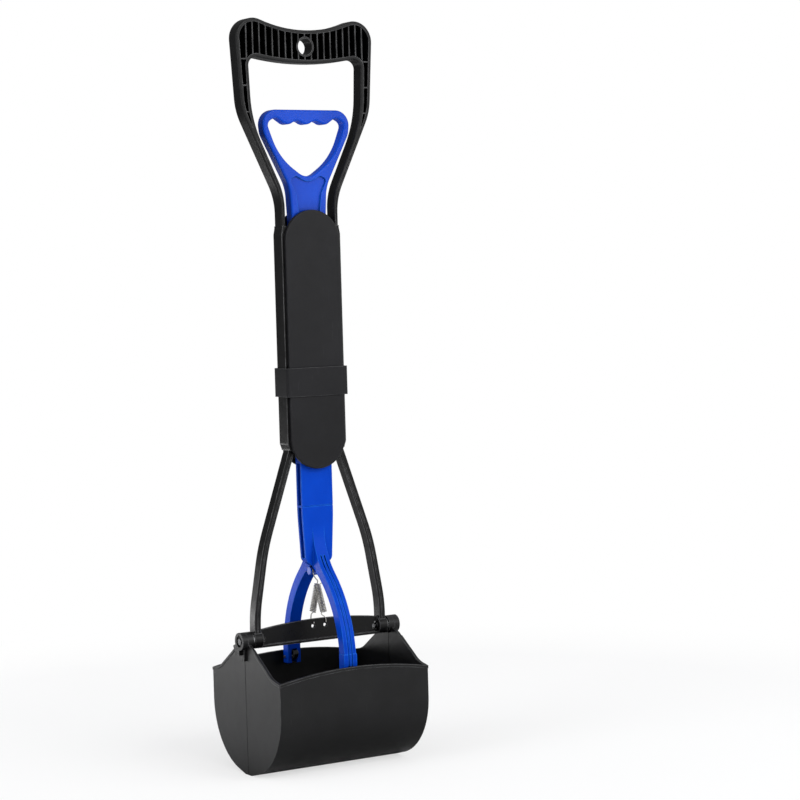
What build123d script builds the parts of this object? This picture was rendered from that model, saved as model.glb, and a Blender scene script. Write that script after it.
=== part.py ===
from build123d import *
import os
from math import asin, atan2, ceil, cos, pi, radians, sin, sqrt, tan

# Long-handled pet waste scooper with two spring-closed jaws, jaws shut.
# X runs along the bucket, Y points to the back, Z is up.
# The origin is on the ground, below the middle of the closed bucket.

# General fits
running_fit = 0.06
side_gap = 0.3
parting_gap = 0.3
overrun = 5.0

# Main stations up the handle
pivot_height = 126.0
lower_handle_length = 237.0
cover_below_fold = 80.5
cover_above_fold = 162.7
neck_rise = 10.6
leg_flare_rise = 81.2
grip_rise = 84.5

# Bucket: two jaws
bucket_length = 160.0
bucket_depth = 131.0
jaw_wall = 2.4
jaw_corner_drop = 32.5
jaw_edge_rise = 8.0
jaw_round_radius = 62.5
jaw_foot_width = 6.0
jaw_floor_slope = 15.0
jaw_shoulder_run = 15.0
jaw_shoulder_rise = 3.0
jaw_shoulder_radius = 30.0
jaw_slope_top_y = 16.0
jaw_slope_top_drop = 6.4
jaw_rim_height = 2.6
jaw_rim_proud = 0.6
jaw_rim_end_radius = 22.0

# Jaw pivots
pivot_radius = 2.5
lug_radius = 8.3
lug_wall = 5.4
lug_root_radius = 13.0
inner_lug_width = 6.1
lug_recess_radius = 5.4
lug_recess_depth = 1.5
pin_head_radius = 3.0
pin_head_height = 1.2
tab_width = 6.2
tab_drop = 18.4
tab_thickness = 2.2
washer_thickness = 1.1
washer_radius = 7.0
leg_boss_radius = 8.0
boss_standout = 1.2
clip_radius = 4.6
clip_thickness = 1.2
pin_tail = 1.4

# Links between the yoke's feet and the jaws
link_wall_gap = 10.5
link_drop = 29.7
link_pin_radius = 1.6
link_pin_stickout = 1.2
ear_width = 5.0
ear_wall = 1.3
ear_root_drop = 10.0
slot_play = 0.7

# Travels
trigger_travel = 30.0
jaw_opening = 29.0

# Housing: side rails and cover plates
rail_half_width = 31.6
rail_width = 9.6
rail_proud = 0.5
cover_inset = 2.3
cover_thickness = 3.5
cover_edge_round = 1.1
guide_pad_width = 6.0
guide_pad_height = 10.0
guide_play = 0.4
back_cover_setback = 11.4

# Cover screws
screw_radius = 1.5
screw_head_radius = 3.0
screw_head_height = 1.6
screw_inset = 4.6
screw_tip_cover = 1.4
upper_screw_first = 24.0
upper_screw_end = 13.4
upper_screw_rows = 3
lower_screw_first = 18.0
lower_screw_end = 5.2
lower_screw_rows = 2

# Upper frame: legs and ribbed grip
frame_half_depth = 7.4
frame_edge_round = 1.5
shoulder_drop = 22.7
shoulder_rise = 6.0
shoulder_inset = 1.2
neck_width = 4.0
neck_foot_rise = 4.2
neck_lap = 2.0
leg_turn_inner_rise = 3.9
grip_half_width = 73.0
grip_corner_rise = 1.0
grip_corner_radius = 19.0
grip_dip = 9.0
grip_bar_height = 35.0
grip_side_width = 12.8
leg_bend_radius = 60.0
leg_inner_bend_radius = 110.0
leg_knee_inset = 4.0
leg_knee_width = 10.7
leg_knee_inner_drop = 8.8
opening_sag = 5.0
opening_corner_radius = 8.0

# Grip pocket with its ribs, and the hanging hole
pocket_rim = 3.4
pocket_depth = 11.0
pocket_foot_drop = 23.0
rib_count = 19
rib_pitch = 6.9
rib_thickness = 1.1
rib_recess = 0.7
cross_rib_drop = 2.0
cross_rib_pitch = 24.25
cross_rib_count = 3
hang_hole_radius = 7.7
hang_boss_radius = 9.3
hang_hole_drop = 24.4
groove_width = 0.9
groove_depth = 0.7
groove_start_share = 0.28

# Lower frame: curved legs and cross bar
lower_shoulder_rise = 24.5
lower_shoulder_depth = 6.0
lower_leg_lap = 2.0
lower_leg_top_inset = 2.2
lower_leg_width = 6.4
lower_leg_boss_reach = 1.3
lower_leg_foot_rise = 24.0
lower_leg_bend_x_share = 0.744
lower_leg_bend_height_share = 0.486
lower_leg_half_depth = 5.0
lower_leg_bend_run = 16.0
lower_leg_foot_run = 13.0
lower_shoulder_round = 5.0
bar_drop = 7.5
bar_end_rise = 8.5
bar_crown = 5.1
bar_half_thickness = 1.6
bar_lip_height = 2.4
bar_lip_half_depth = 4.2
spring_hole_radius = 2.1
spring_hole_rise = 7.0
spring_hole_x = 6.6

# Fold hinge under the band
fold_pin_radius = 1.5
knuckle_radius = 3.3
knuckle_gusset = 9.0
lower_knuckle_width = 4.3
upper_knuckle_width = 4.0
knuckle_inset = 0.6

# Lock band
band_below_fold = 11.7
band_height = 26.9
band_wall = 1.2
band_corner_radius = 2.6
band_play = 0.25

# Trigger handle
trigger_face_gap = 1.9
trigger_side_gap = 10.5
trigger_rise = 1.6
trigger_knee_inset = 2.2
trigger_knee_drop = 22.3
trigger_knee_run = 3.5
trigger_corner_radius_share = 0.628
trigger_neck_gap = 2.1
trigger_neck_rise = 10.7
trigger_neck_radius = 40.0
trigger_shank_gap = 3.5
trigger_shank_drop = 5.7
trigger_tail_drop = 3.0
finger_pitch_share = 0.408
finger_bar_height = 13.6
finger_scallop = 3.0
finger_corner_x_share = 0.676
finger_corner_radius_share = 0.12
finger_side_wall = 5.8
finger_side_rise = 1.2
finger_waist_wall = 4.4
finger_waist_height_share = 0.405
finger_waist_radius_share = 1.255
finger_foot_rise = 6.7
finger_foot_radius_share = 0.335
trigger_edge_round = 2.0
panel_depth = 2.0
panel_lobe_rise = 10.6
panel_lobe_x_share = 0.653
panel_dip = 6.7
panel_dip_radius = 14.0
panel_corner_x_share = 1.015
panel_corner_drop = 3.0
panel_waist_x_share = 0.673
panel_waist_drop = 16.6
panel_waist_radius = 12.0
panel_foot_x_share = 0.553
panel_foot_gap = 1.0
panel_round = 3.5

# Pull rod and its hinge to the yoke
rod_half_width = 10.0
rod_face_inset = 1.0
rod_socket_depth = 20.0
rod_socket_play = 0.15
rod_pin_radius = 2.0
rod_pin_rise = 12.0
rod_end_gap = 12.0
arm_reach = 14.0
rod_tongue_width = 5.6
rod_fork_wall = 3.9
rod_knuckle_radius = 3.2
arm_slot_play = 0.6

# Yoke: shank, arch and feet
yoke_face_gap = 2.9
yoke_side_gap = 5.3
yoke_shoulder_rise = 17.5
yoke_taper_length = 44.0
yoke_taper_radius = 300.0
yoke_waist_radius = 6.0
yoke_waist_half_width = 14.2
yoke_waist_rise = 5.2
yoke_base_drop = 0.8
yoke_channel_depth = 5.0
yoke_channel_half_height = 2.7
yoke_rib_thickness = 2.2
yoke_rib_rise = 7.0
yoke_top_rib_drop = 11.0
yoke_line_width = 0.9
yoke_line_depth = 0.4
arch_outer_radius = 112.8
arch_thickness = 9.3
arch_link_edge = 3.0
arch_link_rise = 6.7
arch_half_width = 6.25
arch_blend_radius = 60.0
foot_link_edge = 5.7
foot_half_width = 6.9
foot_top_rise = 15.7
fork_crotch_rise = 7.9
fork_lip_rise = 4.6
fork_play = 0.4
flute_width = 1.4
flute_depth = 0.7
flute_spacing = 3.6
spring_lug_half_width = 3.0
spring_lug_half_depth = 4.6
anchor_drop = 5.3
anchor_radius = 1.4
anchor_half_length = 8.8
anchor_head_radius = 3.9
anchor_head_height = 1.2

# Springs
spring_wire = 1.0
spring_mean_radius = 2.8
spring_pitch = 1.5
spring_turns = 18
spring_axis_offset = 3.6
spring_top_x = 5.6
spring_body_middle_share = 0.53
hook_clearance = 0.2
hook_seat = 0.1
hook_end = 1.1

# Places of the housing and the fold
fold_height = pivot_height + lower_handle_length
cover_bottom_height = fold_height - cover_below_fold
cover_top_height = fold_height + cover_above_fold
split = parting_gap / 2
rail_half_depth = frame_half_depth + rail_proud
rail_inner = rail_half_width - rail_width
cover_half_width = rail_half_width - cover_inset
cover_face = rail_half_depth + cover_thickness
fold_axis_y = cover_face - knuckle_radius
lower_knuckle_x = rail_inner + knuckle_inset
lower_knuckle_end = lower_knuckle_x + lower_knuckle_width
upper_knuckle_x = lower_knuckle_end + side_gap
upper_knuckle_end = upper_knuckle_x + upper_knuckle_width
band_bottom_height = fold_height - band_below_fold

# Places of the upper frame
shoulder_height = cover_top_height - shoulder_drop
shoulder_top = shoulder_height + shoulder_rise
neck_outer = rail_half_width - shoulder_inset
neck_inner = neck_outer - neck_width
neck_foot_height = shoulder_height + neck_foot_rise
leg_turn_height = cover_top_height + neck_rise
leg_turn_inner_height = leg_turn_height + leg_turn_inner_rise
leg_knee_height = leg_turn_height + leg_flare_rise
leg_knee_x = grip_half_width - leg_knee_inset
leg_knee_inner_x = leg_knee_x - leg_knee_width
leg_knee_inner_height = leg_knee_height - leg_knee_inner_drop
grip_top_height = leg_knee_height + grip_rise
grip_corner_height = grip_top_height + grip_corner_rise
grip_dip_height = grip_top_height - grip_dip
opening_half_width = grip_half_width - grip_side_width
opening_top_height = grip_top_height - grip_bar_height
opening_sag_height = opening_top_height - opening_sag
pocket_foot_height = leg_knee_height - pocket_foot_drop
hang_hole_height = grip_top_height - hang_hole_drop

# Places of the bucket and its pivots
half_length = bucket_length / 2
half_bucket = bucket_depth / 2
seam = parting_gap / 2
slope = radians(jaw_floor_slope)
jaw_corner_height = pivot_height - jaw_corner_drop
jaw_slope_top_height = pivot_height - jaw_slope_top_drop
round_y = half_bucket - jaw_round_radius
floor_tangent_y = round_y + jaw_round_radius * sin(slope)
round_z = jaw_round_radius * cos(slope) + (floor_tangent_y - jaw_foot_width) * tan(slope)
lug_inner_x = half_length - inner_lug_width
lug_outer_x = half_length + side_gap
lug_end_x = lug_outer_x + lug_wall
boss_end_x = lug_inner_x - side_gap - washer_thickness

# Places of the lower frame
lower_leg_foot_x = boss_end_x - lower_leg_boss_reach
lower_leg_inner_foot_x = lower_leg_foot_x - lower_leg_width
lower_leg_foot_height = pivot_height + lower_leg_foot_rise
lower_shoulder_height = cover_bottom_height + lower_shoulder_rise
lower_shoulder_end = lower_shoulder_height - lower_shoulder_depth
lower_leg_top_x = rail_half_width - lower_leg_top_inset
lower_leg_bend_x = lower_leg_top_x + lower_leg_bend_x_share * (lower_leg_foot_x - lower_leg_top_x)
lower_leg_bend_height = pivot_height + lower_leg_bend_height_share * (lower_shoulder_end - pivot_height)
lower_leg_inner_bend_x = lower_leg_bend_x - lower_leg_width
lower_leg_top_height = lower_shoulder_end + lower_leg_lap
lower_leg_upper_drop = lower_shoulder_end - lower_leg_bend_height
lower_leg_lower_drop = lower_leg_bend_height - lower_leg_foot_height
lower_leg_upper_lean = atan2(lower_leg_bend_x - lower_leg_top_x, lower_leg_upper_drop)
lower_leg_lower_lean = atan2(lower_leg_foot_x - lower_leg_bend_x, lower_leg_lower_drop)
lower_leg_bend_radius = lower_leg_bend_run / tan((lower_leg_upper_lean - lower_leg_lower_lean) / 2)
lower_leg_foot_radius = lower_leg_foot_run / tan(lower_leg_lower_lean / 2)
boss_start_x = lower_leg_inner_foot_x - boss_standout
pivot_pin_inner_x = boss_start_x - clip_thickness - pin_tail
bar_bottom_height = pivot_height - bar_drop
bar_end_height = pivot_height + bar_end_rise
bar_middle_height = bar_end_height + bar_crown
spring_hole_height = pivot_height + spring_hole_rise
spring_foot_height = spring_hole_height + spring_hole_radius - spring_wire / 2 - hook_seat

# Places of the trigger and the pull rod
trigger_half_depth = rail_half_depth - trigger_face_gap
trigger_half_width = leg_knee_inner_x - trigger_side_gap
trigger_top_height = leg_knee_height + trigger_rise
trigger_knee_x = trigger_half_width - trigger_knee_inset
trigger_knee_height = trigger_top_height - trigger_knee_drop
trigger_neck_x = rail_inner - trigger_neck_gap
trigger_neck_height = leg_turn_height + trigger_neck_rise
trigger_corner_radius = trigger_knee_drop * trigger_corner_radius_share
trigger_upper_lean = atan2(trigger_knee_inset, trigger_knee_drop)
trigger_lower_lean = atan2(trigger_knee_x - trigger_neck_x, trigger_knee_height - trigger_neck_height)
trigger_knee_radius = trigger_knee_run / tan((trigger_lower_lean - trigger_upper_lean) / 2)
trigger_shank_half_width = rail_inner - trigger_shank_gap
trigger_shank_height = cover_top_height - trigger_shank_drop
trigger_bottom_height = shoulder_height - trigger_tail_drop
finger_low_height = trigger_top_height - finger_bar_height
finger_pitch = trigger_half_width * finger_pitch_share
finger_middle_height = finger_low_height + finger_scallop / 2
finger_wave_lean = 2 * finger_scallop / finger_pitch
finger_wave_slope = 2 * finger_wave_lean / (1 - finger_wave_lean ** 2)
finger_wave_end = finger_pitch * 5 / 4
finger_corner_x = trigger_half_width * finger_corner_x_share
finger_corner_height = finger_middle_height + finger_wave_slope * (finger_corner_x - finger_wave_end)
finger_corner_radius = trigger_half_width * finger_corner_radius_share
finger_side_x = trigger_half_width - finger_side_wall
finger_side_height = finger_low_height + finger_side_rise
finger_foot_height = trigger_neck_height + finger_foot_rise
finger_hole_rise = finger_low_height - finger_foot_height
finger_waist_height = finger_foot_height + finger_waist_height_share * finger_hole_rise
finger_waist_run = tan(trigger_lower_lean) * (finger_waist_height - trigger_neck_height)
finger_waist_x = trigger_neck_x + finger_waist_run - finger_waist_wall
finger_waist_radius = trigger_half_width * finger_waist_radius_share
finger_foot_radius = trigger_half_width * finger_foot_radius_share
rod_top_height = trigger_bottom_height + rod_socket_depth
panel_lobe_x = trigger_neck_x * panel_lobe_x_share
panel_lobe_height = trigger_neck_height + panel_lobe_rise
panel_dip_height = panel_lobe_height - panel_dip
panel_corner_x = trigger_neck_x * panel_corner_x_share
panel_corner_height = panel_lobe_height - panel_corner_drop
panel_waist_x = trigger_neck_x * panel_waist_x_share
panel_waist_height = panel_lobe_height - panel_waist_drop
panel_foot_x = trigger_neck_x * panel_foot_x_share
panel_foot_height = rod_top_height + panel_foot_gap
rod_pin_height = trigger_bottom_height + rod_pin_rise

# Places of the yoke and its links
yoke_half_depth = rail_half_depth - yoke_face_gap
yoke_half_width = rail_inner - yoke_side_gap
rod_half_depth = yoke_half_depth - rod_face_inset
link_y = half_bucket - link_wall_gap
link_height = pivot_height - link_drop
arch_foot_y = link_y + arch_link_edge
arch_spring_height = link_height + arch_link_rise
arch_centre_y = arch_foot_y - arch_outer_radius
arch_inner_radius = arch_outer_radius - arch_thickness
arch_apex_height = arch_spring_height + sqrt(arch_inner_radius ** 2 - arch_centre_y ** 2)
foot_bottom_height = link_height - foot_link_edge
foot_top_height = link_height + foot_top_rise
fork_crotch_height = link_height + fork_crotch_rise
fork_lip_height = link_height + fork_lip_rise
yoke_shoulder_height = cover_bottom_height + yoke_shoulder_rise
yoke_waist_height = arch_apex_height + yoke_waist_rise
yoke_base_height = arch_apex_height - yoke_base_drop
yoke_taper_height = yoke_waist_height + yoke_taper_length
yoke_rib_height = yoke_taper_height + yoke_rib_rise
yoke_top_rib_height = yoke_shoulder_height - yoke_top_rib_drop
anchor_height = arch_apex_height - anchor_drop


def plate_xz(face, front, back):
    """Solid of an X-Z outline between two depths."""
    sketch = Plane((0, back, 0), x_dir=(1, 0, 0), z_dir=(0, -1, 0)) * face
    return extrude(sketch, back - front, dir=(0, -1, 0))


def plate_yz(face, left, right):
    """Solid of a Y-Z outline between two places along X."""
    sketch = Plane((left, 0, 0), x_dir=(0, 1, 0), z_dir=(1, 0, 0)) * face
    return extrude(sketch, right - left, dir=(1, 0, 0))


def block(x0, x1, y0, y1, z0, z1):
    """Box between two corners."""
    return Pos((x0 + x1) / 2, (y0 + y1) / 2, (z0 + z1) / 2) * Box(x1 - x0, y1 - y0, z1 - z0)


def rod_x(radius, x0, x1, y, z):
    """Cylinder along X."""
    return Pos((x0 + x1) / 2, y, z) * Rot(0, 90, 0) * Cylinder(radius, x1 - x0)


def rod_y(radius, y0, y1, x, z):
    """Cylinder along Y."""
    return Pos(x, (y0 + y1) / 2, z) * Rot(90, 0, 0) * Cylinder(radius, y1 - y0)


def face_of(*edges):
    """Flat face inside a closed chain of edges."""
    return make_face(Curve() + list(edges))


def mirrored(points):
    """Right-hand points, top to bottom, closed by their mirror image."""
    return points + [(-x, z) for x, z in reversed(points)]


def round_faces(solid, axis, radius):
    """Round the edges of the lowest and highest faces along an axis."""
    edges = solid.faces().sort_by(axis)[0].edges() + solid.faces().sort_by(axis)[-1].edges()
    return fillet(edges, radius)


def arc_segment(x, end_height, middle_height):
    """Face between a chord and the arc that sags or rises from it."""
    arc = ThreePointArc((-x, end_height), (0, middle_height), (x, end_height))
    return face_of(arc, Line((x, end_height), (-x, end_height)))


def closed(points, radii):
    """Face of a closed outline, each corner with its own radius."""
    return make_face(FilletPolyline(*points, radius=radii, close=True))


def both_hands(points, radii):
    """Closed outline from its right-hand corners, top to bottom."""
    return closed(mirrored(points), list(radii) + list(reversed(radii)))


def strip_above(face, height):
    """Part of an X-Z outline above a height."""
    size = face.bounding_box()
    half = size.max.X + overrun
    top = size.max.Y + overrun
    return face & Pos(0, (height + top) / 2) * Rectangle(2 * half, top - height)


def strip_below(face, height):
    """Part of an X-Z outline below a height."""
    size = face.bounding_box()
    half = size.max.X + overrun
    bottom = size.min.Y - overrun
    return face & Pos(0, (height + bottom) / 2) * Rectangle(2 * half, height - bottom)


# Upper frame

def dipped_top(foot, corner, radius, dip):
    """Place where the right-hand side ends, and the top edge from there to its mirror image."""
    foot = Vector(*foot)
    centre = Vector(corner[0] - radius, corner[1] - radius)
    reach = centre - foot
    way = atan2(reach.Y, reach.X) - asin(radius / reach.length)
    side = foot + Vector(cos(way), sin(way)) * sqrt(reach.length ** 2 - radius ** 2)
    drop = corner[1] - dip
    dip_radius = (centre.X ** 2 + (radius - drop) ** 2 - radius ** 2) / (2 * drop)
    inward = Vector(0, dip + dip_radius) - centre
    crest = centre + inward * (radius / inward.length)
    turn = (way - pi / 2 + atan2(inward.Y, inward.X)) / 2
    middle = centre + Vector(cos(turn), sin(turn)) * radius
    right = ThreePointArc(side, middle, crest)
    sag = ThreePointArc(crest, (0, dip), (-crest.X, crest.Y))
    return (side.X, side.Y), [right, sag, mirror(right, about=Plane.YZ)]


def dipped_face(corners, radii, corner, corner_radius, dip):
    """Face under a dipped top edge, from its right-hand corners below that edge, top to bottom."""
    side, top = dipped_top(corners[0], corner, corner_radius, dip)
    line = FilletPolyline(*mirrored([side] + corners), radius=list(radii) + list(reversed(radii)))
    return face_of(*line.edges(), *top)


def upper_frame_outline():
    """Outside of the grip, the legs and the side rails."""
    corners = [
        (leg_knee_x, leg_knee_height),
        (neck_outer, leg_turn_height),
        (neck_outer, shoulder_top),
        (rail_half_width, shoulder_height),
        (rail_half_width, fold_height + split),
    ]
    radii = [leg_bend_radius, leg_bend_radius, 0, 0, 0]
    corner = (grip_half_width, grip_corner_height)
    return dipped_face(corners, radii, corner, grip_corner_radius, grip_dip_height)


def grip_opening():
    """Hand opening, running down between the legs and the rails."""
    corners = [
        (leg_knee_inner_x, leg_knee_inner_height),
        (neck_inner, leg_turn_inner_height),
        (neck_inner, neck_foot_height),
        (rail_inner, neck_foot_height),
        (rail_inner, fold_height - overrun),
    ]
    radii = [leg_inner_bend_radius, leg_bend_radius, 0, 0, 0]
    corner = (opening_half_width, opening_top_height)
    return dipped_face(corners, radii, corner, opening_corner_radius, opening_sag_height)


def pocket_outline():
    """Floor of the grip's pocket, running out to a tip in each leg."""
    frame = strip_above(upper_frame_outline(), pocket_foot_height)
    return offset(frame, -pocket_rim) - offset(grip_opening(), pocket_rim)


def grip_ribs(pocket):
    """Thin upright ribs across the grip and short ribs across the legs."""
    top = grip_corner_height + overrun
    bottom = opening_top_height - cross_rib_drop
    upright = Sketch()
    for i in range(rib_count):
        x = (i - (rib_count - 1) / 2) * rib_pitch
        upright += Pos(x, (top + bottom) / 2) * Rectangle(rib_thickness, top - bottom)
    lower = opening_sag_height - pocket_rim
    middle = Pos(0, (lower + top) / 2) * Rectangle(2 * opening_half_width, top - lower)
    for i in range(rib_count):
        x = (i - (rib_count - 1) / 2) * rib_pitch
        if abs(x) < opening_half_width - rib_thickness:
            upright += middle & Pos(x, (lower + top) / 2) * Rectangle(rib_thickness, top - lower)
    for i in range(cross_rib_count):
        height = bottom - i * cross_rib_pitch
        for side in (-1, 1):
            x = side * (opening_half_width + grip_half_width) / 2
            upright += Pos(x, height) * Rectangle(grip_half_width - leg_knee_inner_x, rib_thickness)
    return upright & pocket


def leg_grooves(centre_line, half_depth):
    """Fine grooves down the front and back faces of both legs."""
    face = trace(centre_line, groove_width)
    face += mirror(face, about=Plane.YZ)
    front = plate_xz(face, -half_depth - overrun, -half_depth + groove_depth)
    back = plate_xz(face, half_depth - groove_depth, half_depth + overrun)
    return front + back


def hinge_disc(radius):
    """Round Y-Z outline about the fold's axis."""
    return Pos(fold_axis_y, fold_height) * Circle(radius)


def knuckle(direction):
    """Y-Z outline of a hinge knuckle with its gusset, upwards or downwards."""
    side = knuckle_radius * sin(radians(45))
    root = rail_half_depth - knuckle_radius
    gusset = make_face(Polyline(
        (root, fold_height + direction * split),
        (fold_axis_y, fold_height + direction * split),
        (fold_axis_y + side, fold_height + direction * side),
        (rail_half_depth, fold_height + direction * knuckle_gusset),
        (root, fold_height + direction * knuckle_gusset),
        close=True,
    ))
    return hinge_disc(knuckle_radius) + gusset


def hinged(solid, direction, own, other, bore, bore_span):
    """Frame with a hinge knuckle on each side, and with room for the other frame's knuckles."""
    room = plate_yz(hinge_disc(knuckle_radius + side_gap), *other)
    body = plate_yz(knuckle(direction), *own)
    hole = plate_yz(hinge_disc(bore), *bore_span)
    solid = solid - room - mirror(room, about=Plane.YZ)
    solid = solid + body + mirror(body, about=Plane.YZ)
    return solid - hole - mirror(hole, about=Plane.YZ)


def upper_frame():
    """Grip, legs and upper side rails in one moulding."""
    outline = upper_frame_outline() - grip_opening()
    legs = plate_xz(strip_above(outline, shoulder_top), -frame_half_depth, frame_half_depth)
    legs = round_faces(legs, Axis.Y, frame_edge_round)
    rails = plate_xz(strip_below(outline, shoulder_top + neck_lap), -rail_half_depth, rail_half_depth)
    pocket = pocket_outline()
    floor = frame_half_depth - pocket_depth
    pocket_cut = plate_xz(pocket, -frame_half_depth - overrun, -floor)
    ribs = plate_xz(grip_ribs(pocket), -frame_half_depth + rib_recess, -floor)
    end = frame_half_depth + overrun
    boss = rod_y(hang_boss_radius, -frame_half_depth, -floor, 0, hang_hole_height)
    hole = rod_y(hang_hole_radius, -end, end, 0, hang_hole_height)
    solid = legs + rails - pocket_cut + ribs + boss - hole
    solid -= leg_grooves(upper_groove_line(), frame_half_depth)
    own = (upper_knuckle_x, upper_knuckle_end)
    other = (rail_inner - overrun, upper_knuckle_x)
    bore_span = (upper_knuckle_x, rail_half_width + overrun)
    solid = hinged(solid, 1, own, other, fold_pin_radius + running_fit, bore_span)
    return solid - screw_bores(upper_screw_heights())


def upper_groove_line():
    """Line of the fine groove down the right leg."""
    knee = Vector(leg_knee_x + leg_knee_inner_x, leg_knee_height + leg_knee_inner_height) / 2
    turn = Vector(neck_outer + neck_inner, leg_turn_height + leg_turn_inner_height) / 2
    start = knee + (turn - knee) * groove_start_share
    end = (turn.X, cover_top_height - cover_half_width / 2)
    return FilletPolyline((start.X, start.Y), (turn.X, turn.Y), end, radius=leg_bend_radius)


# Lower frame

def lower_leg_outline():
    """Right rail and curved leg."""
    foot = pivot_height
    corners = [
        (rail_inner, fold_height - split),
        (rail_half_width, fold_height - split),
        (rail_half_width, lower_shoulder_height),
        (lower_leg_top_x, lower_shoulder_end),
        (lower_leg_bend_x, lower_leg_bend_height),
        (lower_leg_foot_x, lower_leg_foot_height),
        (lower_leg_foot_x, foot),
        (lower_leg_inner_foot_x, foot),
        (lower_leg_inner_foot_x, lower_leg_foot_height),
        (lower_leg_inner_bend_x, lower_leg_bend_height),
        (rail_inner, lower_leg_top_height),
    ]
    bend = lower_leg_bend_radius
    foot_bend = lower_leg_foot_radius
    shoulder = lower_shoulder_round
    return closed(corners, [0, 0, shoulder, shoulder, bend, foot_bend, 0, 0, foot_bend, bend, 0])


def cross_bar():
    """Arched bar between the legs, with a lip and two spring holes."""
    x = (lower_leg_inner_foot_x + lower_leg_foot_x) / 2
    middle = (bar_bottom_height + bar_end_height) / 2
    web = Pos(0, middle) * Rectangle(2 * x, bar_end_height - bar_bottom_height)
    web += arc_segment(x, bar_end_height, bar_middle_height)
    bar = plate_xz(web, -bar_half_thickness, bar_half_thickness)
    lip_top = bar_bottom_height + bar_lip_height
    bar += block(-x, x, -bar_lip_half_depth, bar_lip_half_depth, bar_bottom_height, lip_top)
    for side in (-1, 1):
        bar -= rod_y(spring_hole_radius, -overrun, overrun, side * spring_hole_x, spring_hole_height)
    return bar


def lower_frame():
    """Lower side rails, curved legs, pivot bosses and cross bar in one moulding."""
    outline = lower_leg_outline()
    leg = plate_xz(strip_below(outline, lower_leg_top_height), -lower_leg_half_depth, lower_leg_half_depth)
    leg += plate_xz(strip_above(outline, lower_shoulder_end), -rail_half_depth, rail_half_depth)
    leg += rod_x(leg_boss_radius, boss_start_x, boss_end_x, 0, pivot_height)
    solid = leg + mirror(leg, about=Plane.YZ) + cross_bar()
    line = FilletPolyline(
        ((lower_leg_top_x + rail_inner) / 2, cover_bottom_height + cover_half_width / 2),
        ((lower_leg_bend_x + lower_leg_inner_bend_x) / 2, lower_leg_bend_height),
        ((lower_leg_foot_x + lower_leg_inner_foot_x) / 2, lower_leg_foot_height),
        ((lower_leg_foot_x + lower_leg_inner_foot_x) / 2, pivot_height + leg_boss_radius),
        radius=[lower_leg_bend_radius, lower_leg_foot_radius],
    )
    solid -= leg_grooves(line, lower_leg_half_depth)
    for side in (-1, 1):
        ends = sorted((side * (boss_start_x - overrun), side * (lug_end_x + overrun)))
        solid -= rod_x(pivot_radius, ends[0], ends[1], 0, pivot_height)
        ends = sorted((side * (pivot_pin_inner_x - side_gap), side * boss_start_x))
        solid -= rod_x(clip_radius + side_gap, ends[0], ends[1], 0, pivot_height)
    own = (lower_knuckle_x, lower_knuckle_end)
    solid = hinged(solid, -1, own, (lower_knuckle_end, rail_half_width + overrun), fold_pin_radius, own)
    return solid - screw_bores(lower_screw_heights())


# Covers

def upper_screw_heights():
    """Heights of the upper screws, spread over the cover's straight sides."""
    span = cover_above_fold - cover_half_width - upper_screw_first - upper_screw_end
    pitch = span / (upper_screw_rows - 1)
    return [fold_height + upper_screw_first + i * pitch for i in range(upper_screw_rows)]


def lower_screw_heights():
    """Heights of the lower screws, spread over the cover's straight sides."""
    span = cover_below_fold - cover_half_width - lower_screw_first - lower_screw_end
    pitch = span / (lower_screw_rows - 1)
    return [fold_height - lower_screw_first - i * pitch for i in range(lower_screw_rows)]


def screw_places(heights):
    """Screw centres on both rails."""
    x = rail_inner + screw_inset
    return [(side * x, z) for z in heights for side in (-1, 1)]


def screw_bores(heights):
    """Holes through the rails for the cover screws."""
    cuts = Part()
    for x, z in screw_places(heights):
        cuts += rod_y(screw_radius, -rail_half_depth - overrun, rail_half_depth + overrun, x, z)
    return cuts


def screws(heights):
    """Countersunk screws, driven from the back through the rails."""
    group = []
    for x, z in screw_places(heights):
        head_start = cover_face - screw_head_height
        shaft = rod_y(screw_radius, -rail_half_depth - cover_thickness + screw_tip_cover, head_start, x, z)
        head = rod_y(screw_head_radius, head_start, cover_face, x, z)
        slot = block(x - screw_head_radius, x + screw_head_radius,
                     cover_face - screw_head_height / 2, cover_face + overrun,
                     z - screw_head_height / 4, z + screw_head_height / 4)
        group.append(shaft + head - slot)
    return group


def cover_outline():
    """Flat plate with two round ends."""
    height = cover_top_height - cover_bottom_height
    middle = (cover_top_height + cover_bottom_height) / 2
    return Pos(0, middle) * Rot(0, 0, 90) * SlotOverall(height, 2 * cover_half_width)


def front_cover(upper):
    """Front plate above or below the fold, with guide pads for the sliding parts inside."""
    if upper:
        face = strip_above(cover_outline(), fold_height + split)
        pads = guide_pads(upper_pad_height(), trigger_half_depth, trigger_shank_half_width)
        heights = upper_screw_heights()
    else:
        face = strip_below(cover_outline(), fold_height - split)
        pads = guide_pads(lower_pad_height(), yoke_half_depth, yoke_half_width)
        heights = lower_screw_heights()
    plate = plate_xz(face, -cover_face, -rail_half_depth)
    plate = fillet(plate.faces().sort_by(Axis.Y)[0].edges(), cover_edge_round)
    plate += pads
    for x, z in screw_places(heights):
        plate -= rod_y(screw_radius, -cover_face + screw_tip_cover, -rail_half_depth + overrun, x, z)
    return plate


def upper_pad_height():
    """Middle of the guide pads for the trigger's neck."""
    return shoulder_height


def lower_pad_height():
    """Middle of the guide pads for the yoke's shank."""
    return cover_bottom_height + cover_half_width / 2


def guide_pads(height, slider_half_depth, slider_half_width):
    """Pads that reach from the cover to the sliding part."""
    pads = Part()
    inner = -slider_half_depth - guide_play
    for side in (-1, 1):
        x = side * (slider_half_width - guide_pad_width / 2)
        pads += block(x - guide_pad_width / 2, x + guide_pad_width / 2, -rail_half_depth, inner,
                      height - guide_pad_height / 2, height + guide_pad_height / 2)
    return pads


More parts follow.
